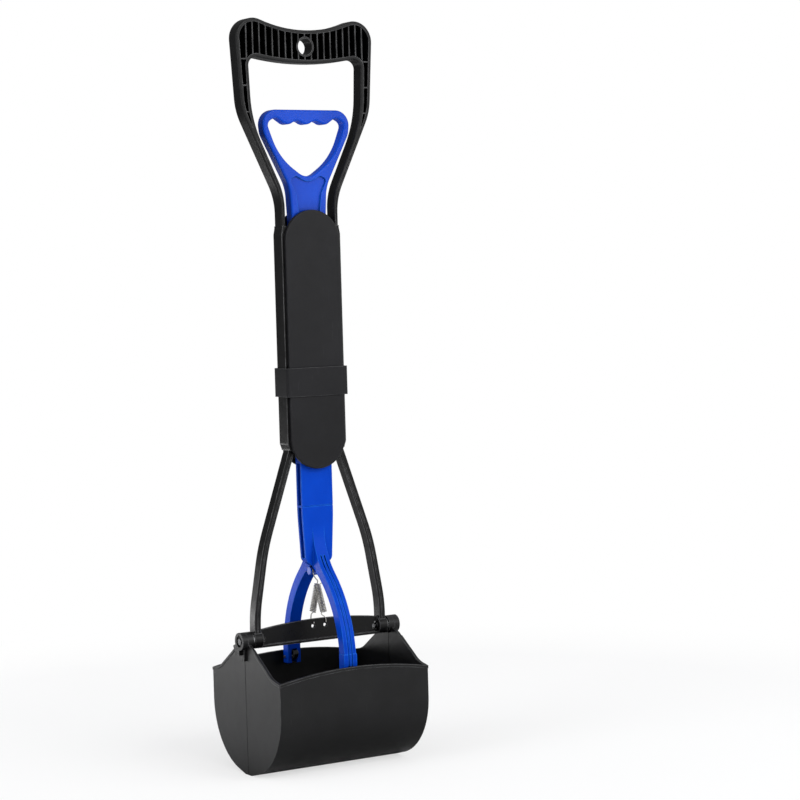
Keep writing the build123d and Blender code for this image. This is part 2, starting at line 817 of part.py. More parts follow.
def back_cover(upper):
    """Back plate, set back from the fold, with a slot for the rod's hinge."""
    slot_x = rod_tongue_width / 2 + side_gap + rod_fork_wall + arm_slot_play
    if upper:
        face = strip_above(cover_outline(), fold_height + back_cover_setback)
        pads = guide_pads(upper_pad_height(), trigger_half_depth, trigger_shank_half_width)
        heights = upper_screw_heights()
        slot = (fold_height, fold_height + trigger_travel + arm_reach)
    else:
        face = strip_below(cover_outline(), fold_height - back_cover_setback)
        pads = guide_pads(lower_pad_height(), yoke_half_depth, yoke_half_width)
        heights = lower_screw_heights()
        slot = (fold_height - arm_reach, fold_height)
    plate = plate_xz(face, rail_half_depth, cover_face)
    plate = fillet(plate.faces().sort_by(Axis.Y)[-1].edges(), cover_edge_round)
    plate += mirror(pads, about=Plane.XZ)
    plate -= block(-slot_x, slot_x, 0, cover_face + overrun, *slot)
    for x, z in screw_places(heights):
        plate -= rod_y(screw_radius, 0, cover_face + overrun, x, z)
        plate -= rod_y(screw_head_radius, cover_face - screw_head_height, cover_face + overrun, x, z)
    return plate


def fold_pins():
    """Two short hinge pins of the fold."""
    right = rod_x(fold_pin_radius, lower_knuckle_x, upper_knuckle_end, fold_axis_y, fold_height)
    return [right, mirror(right, about=Plane.YZ)]


# Lock band

def lock_band():
    """Close sleeve over the fold."""
    top = band_bottom_height + band_height
    inner_x = rail_half_width + band_play
    inner_y = cover_face + band_play
    outer = block(-inner_x - band_wall, inner_x + band_wall, -inner_y - band_wall, inner_y + band_wall,
                  band_bottom_height, top)
    outer = fillet(outer.edges().filter_by(Axis.Z), band_corner_radius)
    return outer - block(-inner_x, inner_x, -inner_y, inner_y, band_bottom_height - overrun, top + overrun)


# Trigger handle and pull rod

def finger_opening():
    """Rounded three-cornered hole with a wavy top edge for the fingers."""
    middle = finger_middle_height
    quarter = finger_pitch / 4
    wave = []
    for i in range(-2, 3):
        start = (2 * i - 1) * quarter
        peak = finger_low_height if i % 2 == 0 else finger_low_height + finger_scallop
        wave.append(ThreePointArc((start, middle), (start + quarter, peak), (start + 2 * quarter, middle)))
    right = [
        (finger_wave_end, middle),
        (finger_corner_x, finger_corner_height),
        (finger_side_x, finger_side_height),
        (finger_waist_x, finger_waist_height),
    ]
    left = [(-x, z) for x, z in reversed(right)]
    radii = [finger_corner_radius, finger_corner_radius, finger_waist_radius]
    line = FilletPolyline(*right, (0, finger_foot_height), *left,
                          radius=radii + [finger_foot_radius] + list(reversed(radii)))
    return face_of(*wave, *line.edges())


def trigger_panel():
    """Outline of the recessed panel below the finger hole, with two lobes at its top."""
    right = [
        (panel_lobe_x, panel_lobe_height),
        (panel_corner_x, panel_corner_height),
        (panel_waist_x, panel_waist_height),
        (panel_foot_x, panel_foot_height),
    ]
    radii = [panel_round, panel_round, panel_waist_radius, panel_round]
    radii += list(reversed(radii))
    return closed([(0, panel_dip_height)] + mirrored(right), [panel_dip_radius] + radii)


def trigger_handle():
    """Blue finger handle with a recessed panel, and its neck inside the housing."""
    corners = [
        (trigger_half_width, trigger_top_height),
        (trigger_knee_x, trigger_knee_height),
        (trigger_neck_x, trigger_neck_height),
        (trigger_shank_half_width, trigger_shank_height),
        (trigger_shank_half_width, trigger_bottom_height),
    ]
    radii = [trigger_corner_radius, trigger_knee_radius, trigger_neck_radius, 0, 0]
    face = both_hands(corners, radii) - finger_opening()
    solid = plate_xz(face, -trigger_half_depth, trigger_half_depth)
    solid = round_faces(solid, Axis.Y, trigger_edge_round)
    panel = trigger_panel()
    solid -= plate_xz(panel, -trigger_half_depth - overrun, -trigger_half_depth + panel_depth)
    solid -= plate_xz(panel, trigger_half_depth - panel_depth, trigger_half_depth + overrun)
    socket_x = rod_half_width + rod_socket_play
    socket_y = rod_half_depth + rod_socket_play
    solid -= block(-socket_x, socket_x, -socket_y, socket_y,
                   trigger_bottom_height - overrun, rod_top_height + rod_socket_play)
    return solid - rod_pin_bore()


def rod_pin_bore():
    """Cross hole for the pin between the trigger's neck and the pull rod."""
    end = trigger_half_depth + overrun
    return rod_y(rod_pin_radius, -end, end, 0, rod_pin_height)


def arm_outline(direction):
    """Bent arm from a rod on the middle plane to the hinge behind it, upwards or downwards."""
    near = rod_knuckle_radius * sin(radians(45))
    points = [
        (-rod_half_depth, fold_height + direction * arm_reach),
        (rod_half_depth, fold_height + direction * arm_reach),
        (fold_axis_y + near, fold_height + direction * near),
        (fold_axis_y - rod_knuckle_radius, fold_height + direction * split),
        (-rod_half_depth, fold_height + direction * rod_end_gap),
    ]
    return make_face(Polyline(*points, close=True)) + hinge_disc(rod_knuckle_radius)


def pull_rod():
    """Flat rod from the trigger's neck to its hinge tongue."""
    rod = block(-rod_half_width, rod_half_width, -rod_half_depth, rod_half_depth,
                fold_height + rod_end_gap, rod_top_height)
    tongue = arm_outline(1) - hinge_disc(fold_pin_radius + running_fit)
    rod += plate_yz(tongue, -rod_tongue_width / 2, rod_tongue_width / 2)
    return rod - rod_pin_bore()


def rod_joint_pin():
    """Cross pin between the trigger's neck and the pull rod."""
    return rod_y(rod_pin_radius, -trigger_half_depth, trigger_half_depth, 0, rod_pin_height)


# Yoke

def shank_outline():
    """Front outline of the yoke's flat shank."""
    corners = [
        (rod_half_width, fold_height - rod_end_gap),
        (rod_half_width, yoke_shoulder_height + yoke_half_width - rod_half_width),
        (yoke_half_width, yoke_shoulder_height),
        (yoke_half_width, yoke_taper_height),
        (yoke_waist_half_width, yoke_waist_height),
        (arch_half_width, yoke_base_height),
    ]
    return both_hands(corners, [0, 0, 0, yoke_taper_radius, yoke_waist_radius, 0])


def arch_side():
    """Right-hand Y-Z outline of one curved leg, from the shank to the foot."""
    blend_y = yoke_half_depth + arch_blend_radius
    reach = arch_outer_radius + arch_blend_radius
    blend_z = arch_spring_height + sqrt(reach ** 2 - (blend_y - arch_centre_y) ** 2)
    share = arch_outer_radius / reach
    join_y = arch_centre_y + share * (blend_y - arch_centre_y)
    join_z = arch_spring_height + share * (blend_z - arch_spring_height)
    outer_turn = atan2(join_z - arch_spring_height, join_y - arch_centre_y) / 2
    blend_turn = (pi + atan2(join_z - blend_z, join_y - blend_y) % (2 * pi)) / 2
    inner_turn = asin((arch_apex_height - arch_spring_height) / arch_inner_radius) / 2
    inner_foot = arch_foot_y - arch_thickness
    return face_of(
        Line((0, blend_z), (yoke_half_depth, blend_z)),
        ThreePointArc(
            (yoke_half_depth, blend_z),
            (blend_y + arch_blend_radius * cos(blend_turn), blend_z + arch_blend_radius * sin(blend_turn)),
            (join_y, join_z),
        ),
        ThreePointArc(
            (join_y, join_z),
            (arch_centre_y + arch_outer_radius * cos(outer_turn),
             arch_spring_height + arch_outer_radius * sin(outer_turn)),
            (arch_foot_y, arch_spring_height),
        ),
        Line((arch_foot_y, arch_spring_height), (arch_foot_y, foot_bottom_height)),
        Line((arch_foot_y, foot_bottom_height), (inner_foot, foot_bottom_height)),
        Line((inner_foot, foot_bottom_height), (inner_foot, arch_spring_height)),
        ThreePointArc(
            (inner_foot, arch_spring_height),
            (arch_centre_y + arch_inner_radius * cos(inner_turn),
             arch_spring_height + arch_inner_radius * sin(inner_turn)),
            (0, arch_apex_height),
        ),
        Line((0, arch_apex_height), (0, blend_z)),
    )


def yoke():
    """Blue Y-shaped yoke: shank, gothic arch, forked feet and the springs' lug."""
    shank = plate_xz(shank_outline(), -yoke_half_depth, yoke_half_depth)
    channel_x = yoke_half_width - yoke_channel_depth
    half = yoke_channel_half_height
    for side in (-1, 1):
        for low, high in channel_spans():
            ends = sorted((side * channel_x, side * (yoke_half_width + overrun)))
            shank -= block(ends[0], ends[1], -half, half, low, high)
    narrow = fold_height - rod_end_gap
    for side in (-1, 1):
        ends = sorted((side * rod_half_depth, side * (yoke_half_depth + overrun)))
        shank -= block(-yoke_half_width - overrun, yoke_half_width + overrun, ends[0], ends[1],
                       yoke_shoulder_height + yoke_half_width - rod_half_width, narrow + overrun)
    shank -= block(-yoke_half_width - overrun, yoke_half_width + overrun,
                   -yoke_half_depth - overrun, -yoke_half_depth + yoke_line_depth,
                   yoke_rib_height - yoke_line_width / 2, yoke_rib_height + yoke_line_width / 2)
    leg = plate_yz(arch_side(), -arch_half_width, arch_half_width)
    leg += block(-foot_half_width, foot_half_width, arch_foot_y - arch_thickness, arch_foot_y,
                 foot_bottom_height, foot_top_height)
    leg -= leg_flutes()
    prong_gap = ear_width / 2 + fork_play
    leg -= plate_yz(fork_gap(), -prong_gap, prong_gap)
    pin_end = foot_half_width + overrun
    leg -= rod_x(link_pin_radius, -pin_end, pin_end, link_y, link_height)
    solid = shank + leg + mirror(leg, about=Plane.XZ)
    lug_top = arch_apex_height + spring_lug_half_depth
    lug = block(-spring_lug_half_width, spring_lug_half_width, -spring_lug_half_depth, spring_lug_half_depth,
                anchor_height, lug_top)
    lug += rod_x(spring_lug_half_depth, -spring_lug_half_width, spring_lug_half_width, 0, anchor_height)
    solid += lug - rod_x(anchor_radius, -overrun, overrun, 0, anchor_height)
    fork = arm_outline(-1) - hinge_disc(fold_pin_radius)
    inner = rod_tongue_width / 2 + side_gap
    prong = plate_yz(fork, inner, inner + rod_fork_wall)
    return solid + prong + mirror(prong, about=Plane.YZ)


def fork_gap():
    """Y-Z outline of the gap between a foot's prongs, lower on the outside."""
    low = foot_bottom_height - overrun
    outside = arch_foot_y + overrun
    return make_face(Polyline(
        (0, low),
        (outside, low),
        (outside, fork_lip_height),
        (arch_foot_y, fork_lip_height),
        (arch_foot_y - arch_thickness, fork_crotch_height),
        (0, fork_crotch_height),
        close=True,
    ))


def channel_spans():
    """Heights between which the shank's side channels run, with a rib between them."""
    bottom = yoke_waist_height + yoke_rib_thickness
    half = yoke_rib_thickness / 2
    return [
        (bottom, yoke_rib_height - half),
        (yoke_rib_height + half, yoke_top_rib_height - half),
    ]


def leg_flutes():
    """Shallow grooves down the outside of a curved leg."""
    outer = arch_outer_radius
    ring = Circle(outer + overrun) - Circle(outer - flute_depth)
    centre = Pos(arch_centre_y, arch_spring_height)
    size = outer + overrun
    quarter = Pos(size / 2, size / 2) * Rectangle(size, size)
    face = centre * (ring & quarter)
    low = foot_bottom_height - overrun
    strip = Rectangle(overrun + flute_depth, arch_spring_height - low)
    face += Pos(arch_foot_y + (overrun - flute_depth) / 2, (low + arch_spring_height) / 2) * strip
    cuts = Part()
    for side in (-1, 1):
        x = side * flute_spacing / 2
        cuts += plate_yz(face, x - flute_width / 2, x + flute_width / 2)
    return cuts


def link_pin(side):
    """Steel pin through a yoke's foot and the jaw's ear."""
    end = foot_half_width + link_pin_stickout
    return rod_x(link_pin_radius, -end, end, side * link_y, link_height)


def rod_hinge_pin():
    """Pin of the rod's hinge, on the fold's axis at rest."""
    end = rod_tongue_width / 2 + side_gap + rod_fork_wall
    return rod_x(fold_pin_radius, -end, end, fold_axis_y, fold_height)


def spring_anchor():
    """Headed pin through the yoke's lug that the springs hook over."""
    pin = rod_x(anchor_radius, -anchor_half_length, anchor_half_length, 0, anchor_height)
    for side in (-1, 1):
        ends = sorted((side * anchor_half_length, side * (anchor_half_length - anchor_head_height)))
        pin += rod_x(anchor_head_radius, ends[0], ends[1], 0, anchor_height)
    return pin


# Jaws

def jaw_profile(inset, top, start):
    """Y-Z outline between the seam and a wall line set in from the outside of the back jaw."""
    radius = jaw_round_radius - inset
    foot = (jaw_foot_width - inset * tan(slope / 2), inset)
    tangent = (round_y + radius * sin(slope), round_z - radius * cos(slope))
    turn = (slope - pi / 2) / 2
    middle = (round_y + radius * cos(turn), round_z + radius * sin(turn))
    side = half_bucket - inset
    return face_of(
        Line((start, inset), foot),
        Line(foot, tangent),
        ThreePointArc(tangent, middle, (side, round_z)),
        Line((side, round_z), (side, top)),
        Line((side, top), (start, top)),
        Line((start, top), (start, inset)),
    )


def end_wall_top():
    """Region under the sloping top edge of an end wall."""
    slope_y = half_bucket - jaw_shoulder_run
    points = [
        (-overrun, -overrun),
        (half_bucket + overrun, -overrun),
        (half_bucket + overrun, jaw_corner_height),
        (half_bucket, jaw_corner_height),
        (slope_y, jaw_corner_height + jaw_shoulder_rise),
        (jaw_slope_top_y, jaw_slope_top_height),
        (0, pivot_height),
        (-overrun, pivot_height),
    ]
    return closed(points, [0, 0, 0, 0, jaw_shoulder_radius, 0, 0, 0])


def long_wall_cut():
    """Everything above the arched edge of a long wall."""
    top = pivot_height + lug_radius + overrun
    half = half_length + overrun
    face = Pos(0, (jaw_corner_height + top) / 2) * Rectangle(2 * half, top - jaw_corner_height)
    face -= arc_segment(half_length, jaw_corner_height, jaw_corner_height + jaw_edge_rise)
    return face


def jaw_shell():
    """Back jaw without lugs: curved wall, end walls and raised rims."""
    peak = jaw_corner_height + jaw_edge_rise + overrun
    section = jaw_profile(0, peak, seam) - jaw_profile(jaw_wall, peak + overrun, -overrun)
    wall = plate_yz(section, -half_length, half_length)
    wall -= plate_xz(long_wall_cut(), seam, half_bucket + overrun)
    top = jaw_profile(0, pivot_height, seam) & end_wall_top()
    end = plate_yz(top, half_length - jaw_wall, half_length)
    shell = wall + end + mirror(end, about=Plane.YZ)
    rim_face = top - Pos(0, -jaw_rim_height) * top
    rim_face -= Pos(0, pivot_height) * Circle(jaw_rim_end_radius)
    below = Pos(half_bucket / 2, 0) * Rectangle(bucket_depth, 2 * round_z)
    rim = plate_yz(rim_face - below, half_length, half_length + jaw_rim_proud)
    shell += rim + mirror(rim, about=Plane.YZ)
    edge = arc_segment(half_length, jaw_corner_height, jaw_corner_height + jaw_edge_rise)
    strip = Pos(0, jaw_corner_height - jaw_rim_height / 2) * Rectangle(bucket_length, jaw_rim_height)
    band = (edge + strip) - Pos(0, -jaw_rim_height) * (edge + strip)
    return shell + plate_xz(band, half_bucket, half_bucket + jaw_rim_proud)


def link_spot(share):
    """Place of the link pin in the back jaw's own Y-Z plane, at a share of the travel."""
    turn = radians(jaw_opening * share)
    y = link_y
    z = link_height + trigger_travel * share - pivot_height
    return y * cos(turn) + z * sin(turn), pivot_height + z * cos(turn) - y * sin(turn)


def link_slot(radius):
    """Curved slot outline with round ends, along the link pin's way through the jaw."""
    spots = [link_spot(0), link_spot(1 / 2), link_spot(1)]
    face = trace(ThreePointArc(*spots), 2 * radius)
    for end in (spots[0], spots[-1]):
        face += Pos(*end) * Circle(radius)
    return face


def link_ear():
    """Ear inside the back jaw's long wall, with a slot for the link pin."""
    root_y = half_bucket - jaw_wall / 2
    play_radius = link_pin_radius + slot_play
    outside = play_radius + ear_wall
    root = make_face(Polyline(
        (root_y, link_height + play_radius),
        (link_y, link_height + outside),
        (link_y - outside, link_height),
        (link_y, link_height - outside),
        (root_y, link_height - ear_root_drop),
        close=True,
    ))
    face = link_slot(outside) + root - link_slot(play_radius)
    return plate_yz(face, -ear_width / 2, ear_width / 2)


def front_jaw():
    """Front half of the bucket, with the inner lugs."""
    shell = mirror(jaw_shell() + link_ear(), about=Plane.XZ)
    for side in (-1, 1):
        ends = sorted((side * lug_inner_x, side * half_length))
        shell += rod_x(lug_radius, ends[0], ends[1], 0, pivot_height)
        shell -= rod_x(pivot_radius + running_fit, ends[0] - overrun, ends[1] + overrun, 0, pivot_height)
    return shell


def back_jaw():
    """Back half of the bucket, with the outer lugs and the tabs over the seam."""
    shell = jaw_shell() + link_ear()
    clear = lug_radius + side_gap
    root = jaw_profile(0, pivot_height, seam) & end_wall_top()
    root &= Pos(0, pivot_height) * Circle(lug_root_radius)
    disc = Pos(0, pivot_height) * Circle(lug_radius)
    tab_low = pivot_height - tab_drop
    tab = Pos(0, (pivot_height + tab_low) / 2) * Rectangle(tab_width, tab_drop)
    bore = Pos(0, pivot_height) * Circle(pivot_radius + running_fit)
    recess = Pos(0, pivot_height) * Circle(lug_recess_radius)
    lug = plate_yz(disc + root - bore, lug_outer_x, lug_end_x)
    lug += plate_yz(tab - disc - bore, lug_outer_x, lug_outer_x + tab_thickness)
    lug -= plate_yz(recess, lug_end_x - lug_recess_depth, lug_end_x + overrun)
    bridge = plate_yz(root, half_length - jaw_wall, lug_outer_x)
    room = rod_x(clear, lug_inner_x - overrun, lug_outer_x, 0, pivot_height)
    right = shell + lug + bridge - room
    return right + mirror(lug + bridge, about=Plane.YZ) - mirror(room, about=Plane.YZ)


# Pivot hardware

def pivot_pin(side):
    """Headed steel pin through the lugs and the leg's boss."""
    head_end = lug_end_x - lug_recess_depth + pin_head_height
    pin = rod_x(pivot_radius, pivot_pin_inner_x, head_end, 0, pivot_height)
    pin += rod_x(pin_head_radius, lug_end_x - lug_recess_depth, head_end, 0, pivot_height)
    return pin if side > 0 else mirror(pin, about=Plane.YZ)


def pivot_washers():
    """One washer between each leg's boss and the inner lug."""
    end = boss_end_x + washer_thickness
    washer = rod_x(washer_radius, boss_end_x, end, 0, pivot_height)
    washer -= rod_x(pivot_radius + running_fit, boss_end_x - overrun, end + overrun, 0, pivot_height)
    return [washer, mirror(washer, about=Plane.YZ)]


def pivot_clips():
    """Retaining rings on the inner ends of the pivot pins."""
    end = boss_start_x
    ring = rod_x(clip_radius, end - clip_thickness, end, 0, pivot_height)
    ring -= rod_x(pivot_radius, end - overrun, end + overrun, 0, pivot_height)
    ring -= block(end - overrun, end + overrun, -pivot_radius / 2, pivot_radius / 2,
                  pivot_height - clip_radius - overrun, pivot_height)
    return [ring, mirror(ring, about=Plane.YZ)]


# Springs

def tangent_pair(start, start_way, end, end_way):
    """Two arcs that leave one point and reach another along given directions."""
    span = end - start
    ways = start_way + end_way
    spread = 2 * (1 - start_way.dot(end_way))
    along = span.dot(ways)
    if spread < 1e-9:
        reach = span.dot(span) / (4 * span.dot(end_way))
    else:
        reach = (sqrt(along ** 2 + spread * span.dot(span)) - along) / spread
    join = (start + end + (start_way - end_way) * reach) * 0.5
    first = Edge.make_tangent_arc(start, start_way, join)
    second = Edge.make_tangent_arc(join, first % 1, end)
    return [first, second]


def spring_path(side):
    """Centre line of one spring: hook over the anchor, crossed coil, hook through the bar."""
    top = Vector(side * spring_top_x, 0, anchor_height)
    foot = Vector(-side * spring_hole_x, 0, spring_foot_height)
    lean = side * spring_axis_offset
    down = (foot - top).normalized()
    across = Vector(0, 1, 0)
    out = across.cross(down)
    half_body = spring_turns * spring_pitch / 2
    centre = top + (foot - top) * spring_body_middle_share + across * lean
    hook_radius = anchor_radius + spring_wire / 2 + hook_clearance
    edges = []

    def coil_point(turn):
        angle = 2 * pi * turn
        place = centre + down * (turn * spring_pitch - half_body)
        spot = place + (across * (-side * cos(angle)) + out * sin(angle)) * spring_mean_radius
        way = (across * (side * sin(angle)) + out * cos(angle)) * (2 * pi * spring_mean_radius)
        return spot, (way + down * spring_pitch).normalized()

    over = top + Vector(0, -side * hook_radius, 0)
    under = top + Vector(0, side * hook_radius, 0)
    crown = top + Vector(0, 0, hook_radius)
    edges.append(Edge.make_line(over - Vector(0, 0, hook_end), over))
    edges.append(Edge.make_three_point_arc(over, crown, under))
    first_spot, first_way = coil_point(0)
    edges += tangent_pair(under, Vector(0, 0, -1), first_spot, first_way)
    quarters = spring_turns * 4
    for i in range(quarters):
        start, start_way = coil_point(i / 4)
        end, end_way = coil_point((i + 1) / 4)
        edges += tangent_pair(start, start_way, end, end_way)
    last_spot, last_way = coil_point(spring_turns)
    bend = spring_wire + hook_clearance
    reach = bar_half_thickness + bend
    drop_start = foot + Vector(0, side * reach, bend + spring_wire)
    drop = foot + Vector(0, side * reach, bend)
    edges += tangent_pair(last_spot, last_way, drop_start, Vector(0, 0, -1))
    edges.append(Edge.make_line(drop_start, drop))
    enter = foot + Vector(0, side * (reach - bend), 0)
    leave = foot - Vector(0, side * (reach - bend), 0)
    edges.append(Edge.make_tangent_arc(drop, Vector(0, 0, -1), enter))
    edges.append(Edge.make_line(enter, leave))
    rise = foot - Vector(0, side * reach, -bend)
    edges.append(Edge.make_tangent_arc(leave, Vector(0, -side, 0), rise))
    edges.append(Edge.make_line(rise, rise + Vector(0, 0, hook_end)))
    return edges


def least_gap(edges, wire):
    """Least space between stretches of one tube that aren't neighbours."""
    points = []
    travelled = 0.0
    for edge in edges:
        steps = max(2, ceil(edge.length / (wire / 2)))
        for i in range(steps):
            points.append((travelled + edge.length * i / steps, edge @ (i / steps)))
        travelled += edge.length
    least = None
    for i, (place, spot) in enumerate(points):
        for other_place, other in points[i + 1:]:
            if other_place - place > pi * wire:
                gap = (other - spot).length - wire
                least = gap if least is None else min(least, gap)
    return least


def spring(side):
    """One extension spring, a single unbroken wire with a hook at each end."""
    edges = spring_path(side)
    print("spring", side, "least gap to itself", round(least_gap(edges, spring_wire), 3))
    path = Wire(edges)
    start = edges[0] @ 0
    section = Plane(origin=start, z_dir=edges[0] % 0) * Circle(spring_wire / 2)
    return sweep(section, path=path)


# Nodes

def write(name, solids):
    """Write one sub-part, a single solid or a group of alike ones."""
    group = solids if isinstance(solids, list) else [solids]
    bodies = [solid for item in group for solid in item.solids()]
    shape = bodies[0] if len(bodies) == 1 else Compound(children=bodies)
    export_step(shape, "parts/" + name + ".step")


def main():
    """Build every sub-part."""
    os.makedirs("parts", exist_ok=True)
    write("upper_frame", upper_frame())
    write("upper_front_cover", front_cover(True))
    write("upper_back_cover", back_cover(True))
    write("upper_cover_screws", screws(upper_screw_heights()))
    write("lower_frame", lower_frame())
    write("lower_front_cover", front_cover(False))
    write("lower_back_cover", back_cover(False))
    write("lower_cover_screws", screws(lower_screw_heights()))
    write("fold_pins", fold_pins())
    write("lock_band", lock_band())
    write("trigger_handle", trigger_handle())
    write("pull_rod", pull_rod())
    write("rod_joint_pin", rod_joint_pin())
    write("yoke", yoke())
    write("rod_hinge_pin", rod_hinge_pin())
    write("front_link_pin", link_pin(-1))
    write("back_link_pin", link_pin(1))
    write("spring_anchor_pin", spring_anchor())
    write("front_jaw", front_jaw())
    write("back_jaw", back_jaw())
    write("left_pivot_pin", pivot_pin(-1))
    write("right_pivot_pin", pivot_pin(1))
    write("pivot_washers", pivot_washers())
    write("pivot_clips", pivot_clips())
    write("left_spring", spring(-1))
    write("right_spring", spring(1))


main()
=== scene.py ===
"""Looks of the pooper scooper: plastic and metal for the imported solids, then floor, light and camera."""
from math import cos, radians, sin

import bpy
from mathutils import Matrix, Vector

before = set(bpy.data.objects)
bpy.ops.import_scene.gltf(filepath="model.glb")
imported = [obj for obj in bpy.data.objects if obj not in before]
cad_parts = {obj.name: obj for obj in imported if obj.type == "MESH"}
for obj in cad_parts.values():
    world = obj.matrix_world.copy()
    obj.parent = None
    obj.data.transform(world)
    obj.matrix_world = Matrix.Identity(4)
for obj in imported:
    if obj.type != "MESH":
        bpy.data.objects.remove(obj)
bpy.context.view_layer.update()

MM = 0.001
METAL_RELIEF = 0.00003

# Places of the colour sockets on a mix node, where several sockets share one name
MIX_FIRST = 6
MIX_SECOND = 7
MIX_RESULT = 2


# Small helpers for node trees

def new_material(name):
    material = bpy.data.materials.new(name)
    material.use_nodes = True
    tree = material.node_tree
    tree.nodes.clear()
    return material, tree


def feed(tree, socket, value):
    """Link the socket to another node's output, or set it to a plain value."""
    if hasattr(value, "is_output"):
        tree.links.new(value, socket)
    else:
        socket.default_value = value


def node(tree, kind, settings=None, **inputs):
    """A new node. An underscore in an input's name stands for a space."""
    made = tree.nodes.new(kind)
    for key, value in (settings or {}).items():
        setattr(made, key, value)
    for key, value in inputs.items():
        feed(tree, made.inputs[key.replace("_", " ")], value)
    return made


def vector_maths(tree, operation, *values):
    made = node(tree, "ShaderNodeVectorMath", {"operation": operation})
    for socket, value in zip(made.inputs, values):
        feed(tree, socket, value)
    return made


def maths(tree, operation, first, second):
    made = node(tree, "ShaderNodeMath", {"operation": operation})
    for socket, value in zip(made.inputs, (first, second)):
        feed(tree, socket, value)
    return made.outputs[0]


def noise(tree, where, scale, detail=3.0, roughness=0.55):
    made = node(tree, "ShaderNodeTexNoise", Vector=where, Scale=scale, Detail=detail, Roughness=roughness)
    return made.outputs["Fac"]


def stretched_noise(tree, where, stretch, detail, roughness=0.55):
    """Fine streaks: noise in a space that is scaled differently along each axis."""
    stretched = node(tree, "ShaderNodeMapping", Vector=where, Scale=stretch)
    return noise(tree, stretched.outputs["Vector"], 1.0, detail, roughness)


def spread(tree, value, low, high, start, end):
    """The value between start and end turned into a number between low and high."""
    made = node(tree, "ShaderNodeMapRange", Value=value,
                From_Min=start, From_Max=end, To_Min=low, To_Max=high)
    return made.outputs["Result"]


def mix_colour(tree, share, first, second):
    made = node(tree, "ShaderNodeMix", {"data_type": "RGBA"})
    feed(tree, made.inputs["Factor"], share)
    feed(tree, made.inputs[MIX_FIRST], first)
    feed(tree, made.inputs[MIX_SECOND], second)
    return made.outputs[MIX_RESULT]


def mix_shader(tree, share, first, second):
    made = node(tree, "ShaderNodeMixShader")
    for socket, value in zip(made.inputs, (share, first.outputs[0], second.outputs[0])):
        feed(tree, socket, value)
    return made.outputs[0]


def colour(red, green, blue):
    return (red, green, blue, 1.0)


def rounded_normal(tree, radius):
    return node(tree, "ShaderNodeBevel", {"samples": 6}, Radius=radius).outputs["Normal"]


def edge_share(tree, rounded):
    """The mask for painted edge highlights: 0 on a flat face and up to 1 on an edge, from how far the
    rounded normal leans from the face's own.
    """
    plain = node(tree, "ShaderNodeNewGeometry")
    lean = vector_maths(tree, "DOT_PRODUCT", rounded, plain.outputs["Normal"])
    return spread(tree, lean.outputs["Value"], low=1.0, high=0.0, start=0.93, end=1.0)


def unshaded_share(tree, reach):
    """The mask for painted shade: 0 deep in a hollow and up to 1 in the open."""
    shade = node(tree, "ShaderNodeAmbientOcclusion", {"samples": 8}, Distance=reach)
    return spread(tree, shade.outputs["AO"], low=0.0, high=1.0, start=0.15, end=0.75)


def seam_share(tree, place, half_width):
    """1 on the lips of the seam between the two jaws, which meet in the middle of the depth."""
    parts = node(tree, "ShaderNodeSeparateXYZ", Vector=place)
    away = maths(tree, "ABSOLUTE", parts.outputs["Y"], 0.0)
    return maths(tree, "LESS_THAN", away, half_width)


def finish_material(tree, height, bump_depth, rounded, **inputs):
    """The end of each plastic and metal: relief from the height, the shader with its inputs, the output."""
    bump = node(tree, "ShaderNodeBump", Strength=1.0, Distance=bump_depth, Height=height, Normal=rounded)
    shader = node(tree, "ShaderNodeBsdfPrincipled", Normal=bump.outputs["Normal"], **inputs)
    node(tree, "ShaderNodeOutputMaterial", Surface=shader.outputs["BSDF"])


# Moulded plastic: fine grain, slow variation and a few handling scuffs, with painted highlights along the
# edges and painted shade in hollows

